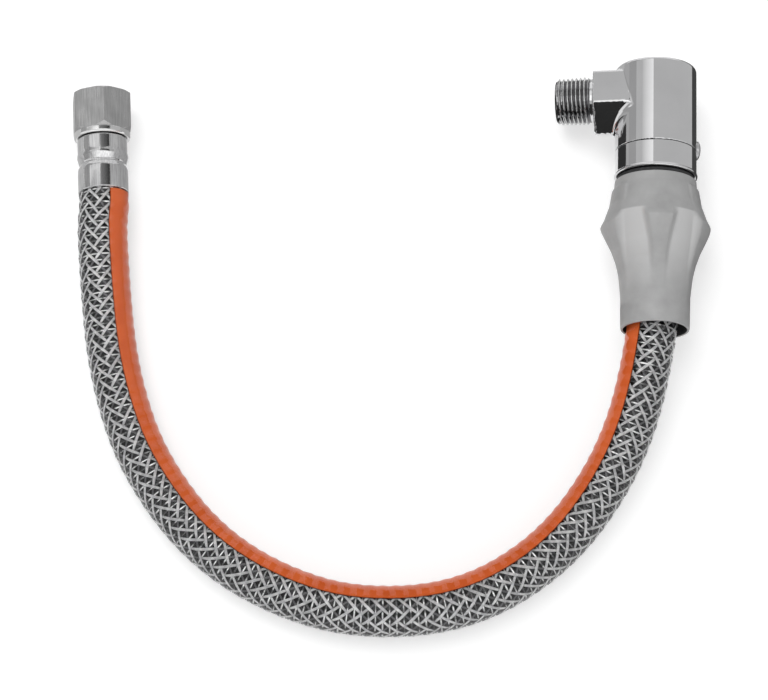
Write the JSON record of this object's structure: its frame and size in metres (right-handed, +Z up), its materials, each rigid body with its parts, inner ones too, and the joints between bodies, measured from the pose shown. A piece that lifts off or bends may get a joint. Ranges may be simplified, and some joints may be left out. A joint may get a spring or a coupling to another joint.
{
  "type": "flexible gas hose",
  "caption": "Braided flexible gas hose with a hexagon socket end and a grip plug locked in an angled quick-connect gas socket.",
  "frame": {"origin": "centre of the two end fittings' footprint, on the surface that the hose lies on", "axes": "+Y along the plug and its socket, away from the hose; +Z up from the surface; +X from the hexagon socket towards the plug"},
  "size_m": [0.2762, 0.2506, 0.0463],
  "materials": {
    "socket_steel": "turned and drawn hexagon bar, satin",
    "ferrule_steel": "pressed sleeve, polished satin",
    "hose_cover": "clear glossy cover with one orange stripe",
    "braid_steel": "bright braided wire",
    "tube_steel": "stainless corrugated tube",
    "chrome": "polished chrome plate",
    "brass": "turned brass",
    "grip_grey": "moulded grey plastic, fine grain",
    "rubber": "matt black",
    "spring_steel": "drawn spring wire"
  },
  "bodies": {
    "hose": {"hex_socket": "socket_steel", "socket_ferrule": "ferrule_steel", "hose_jacket": "hose_cover", "wire_braid": "braid_steel", "corrugated_tube": "tube_steel", "plug_ferrule": "ferrule_steel", "plug_body": "brass", "plug_seal_rear": "rubber", "plug_seal_front": "rubber", "plug_snap_ring": "spring_steel", "thrust_washer": "brass"},
    "grip": {"grip_sleeve": "grip_grey", "cam_sleeve": "brass", "grip_gasket": "rubber"},
    "socket": {"elbow_body": "chrome", "bezel_ring": "chrome", "bayonet_pin": "chrome", "valve_cartridge": "brass", "cartridge_seal": "rubber", "valve_spring": "spring_steel"},
    "valve": {"valve_poppet": "brass", "poppet_seal": "rubber"}
  },
  "joints": [
    {"name": "grip_turn", "type": "hinge", "parent": "hose", "child": "grip", "pos_m": [0.1149, -0.0154, 0.02289], "axis": [0, -1, 0], "range_deg": [0, 60]},
    {"name": "socket_draw", "type": "slide", "parent": "hose", "child": "socket", "axis": [0, 1, 0], "range_m": [0, 0.004]},
    {"name": "valve_travel", "type": "slide", "parent": "socket", "child": "valve", "axis": [0, -1, 0], "range_m": [0, 0.004], "deforming": ["valve_spring"]}
  ],
  "couplings": [
    {"joint": "grip_turn", "follows": "socket_draw", "rad_per_m": 261.79},
    {"joint": "valve_travel", "follows": "socket_draw", "ratio": 1}
  ]
}
